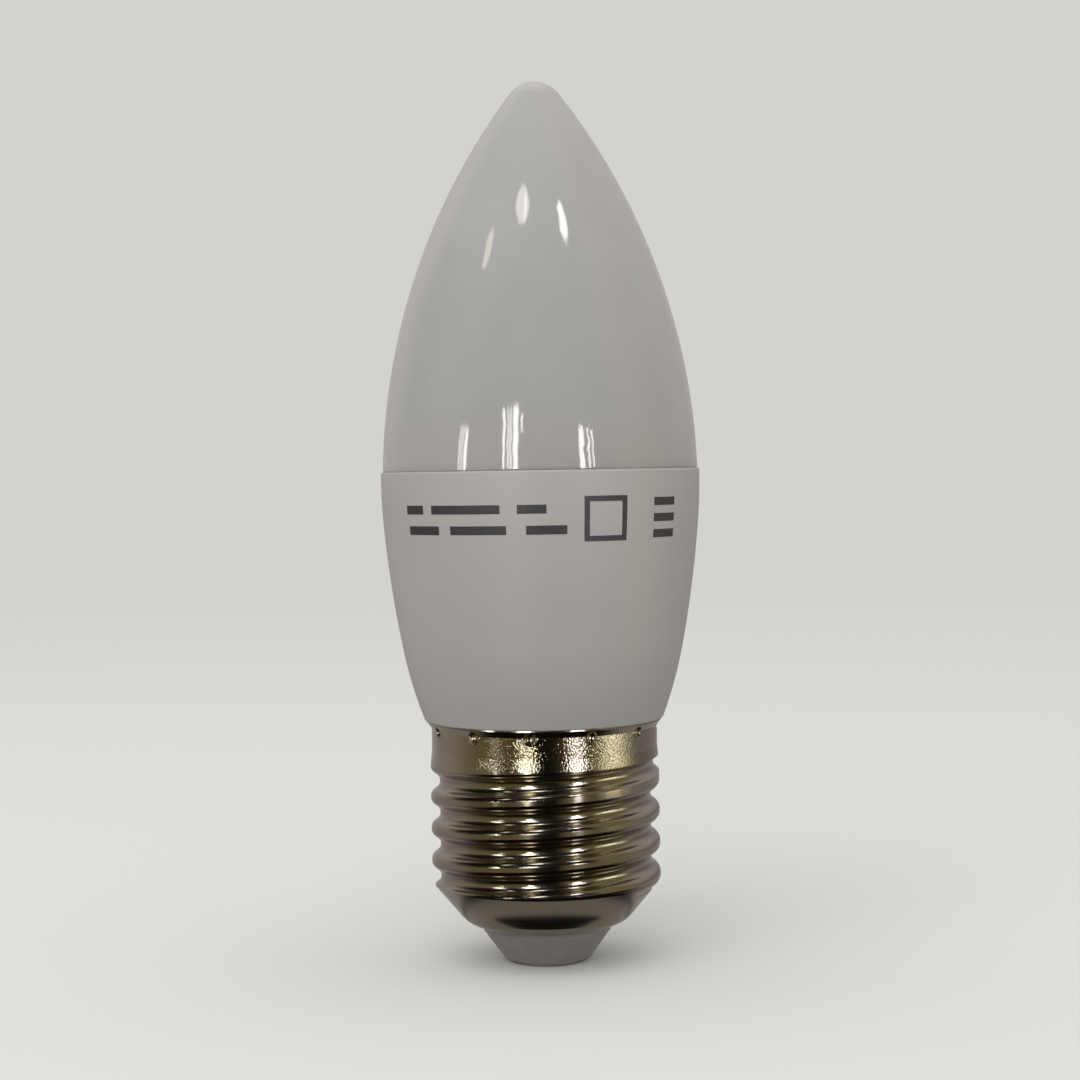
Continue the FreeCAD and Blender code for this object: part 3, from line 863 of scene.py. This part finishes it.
def upright_lamp(name, azimuth, angle, foot, top, radiance, colour, lean=0):
    """An upright lamp on the strips' circle, between two heights in millimetres."""
    spot = round_the_bulb(STRIP_DISTANCE, (foot + top) / 2 * MM, azimuth)
    size = (across(STRIP_DISTANCE, angle), (top - foot) * MM)
    hang_lamp(name, spot, size, (azimuth, 0, lean), radiance, colour)


for group, (foot, lean, colour, strips) in STRIPS.items():
    for azimuth, angle, top in strips:
        upright_lamp(f"{group}_strip", azimuth, angle, foot, top, STRIP_RADIANCE, colour, lean)
print("the dome has", sum(len(group[3]) for group in STRIPS.values()), "strips")

# %% [markdown]
# The cap has strips of its own, below the dome's, because the sparks on the thread differ from
# the streaks in place and strength. Three are narrow and bright, for the columns of sparks. Two
# are wide and weak, for the yellow sheen at the right. Each gives its azimuth and width in
# degrees, its foot and top in millimetres, its radiance and its tone.

# %% Strips for the cap
CAP_FOOT = 0.5
CAP_TOP = 45
CAP_STRIPS = [
    (-48, 1.3, CAP_FOOT, CAP_TOP, 6.0, "#fffbe8"),
    (-17.1, 3.6, CAP_FOOT, CAP_TOP, 14.0, "#fffae6"),
    (31.2, 4.8, CAP_FOOT, CAP_TOP, 12.0, "#fdf8fb"),
    (71, 37, CAP_FOOT, CAP_TOP, 0.9, "#fffbe8"),
    (69, 17, CAP_FOOT, 24, 2.0, "#fff8e0"),
]

for strip in CAP_STRIPS:
    upright_lamp("cap_strip", *strip)
print("the cap has", len(CAP_STRIPS), "strips")

# %% [markdown]
# Four ellipses hang higher up and give the short soft marks near the tip of the dome: one at the
# left, one in the middle with a narrow bright one on it, and one at the right. They face a point
# on the axis, and each gives its azimuth, its elevation, its width and its height in degrees,
# its radiance and its tone.

# %% High panels
HIGH_DISTANCE = 0.30
HIGH_AIM = 84 * MM
HIGH_PANELS = [
    (-55.5, 40.5, 5.5, 8.5, 3.2, "#fffbe6"),
    (-19.4, 54.2, 13, 9, 4.6, "#fdf8fb"),
    (-14.6, 54.2, 1.6, 8, 6.0, "#fffdf8"),
    (36.3, 48.8, 7, 9, 9.0, "#fffdf8"),
]

for azimuth, elevation, wide, tall, radiance, colour in HIGH_PANELS:
    up = HIGH_DISTANCE * math.sin(math.radians(elevation)) + HIGH_AIM
    spot = round_the_bulb(HIGH_DISTANCE * math.cos(math.radians(elevation)), up, azimuth)
    size = (across(HIGH_DISTANCE, wide), across(HIGH_DISTANCE, tall))
    hang_lamp("high_panel", spot, size, (azimuth, elevation, 0), radiance, colour, shape="ELLIPSE")
print("there are", len(bpy.data.lights), "lamps in all")

# %% [markdown]
# The camera stands where the photographer's did: in front of the bulb, a little above its
# middle, so that the seam is almost straight and the cap's rings sag. A small roll and shift
# bring the bulb to its place in the frame. The lens is worked out from a focal length in
# pixels, which is what the perspective of a picture gives.

# %% Camera
PHOTO_WIDTH = 1080
FOCAL_PIXELS = 2191
SHIFT_PIXELS = -70
SENSOR = 36.0
ROLL = 0.95
CAMERA_BACK = 0.253
CAMERA_HEIGHT = 0.0563

lens = bpy.data.cameras.new("camera")
lens.sensor_width = SENSOR
lens.lens = SENSOR * FOCAL_PIXELS / PHOTO_WIDTH
lens.shift_y = SHIFT_PIXELS / PHOTO_WIDTH
camera = bpy.data.objects.new("camera", lens)
scene = bpy.context.scene
scene.collection.objects.link(camera)
camera.location = (0, -CAMERA_BACK, CAMERA_HEIGHT)
camera.rotation_euler = (math.radians(90), math.radians(ROLL), 0)
scene.camera = camera
scene.view_settings.view_transform = "Standard"
print("the lens is", round(lens.lens, 1), "mm")
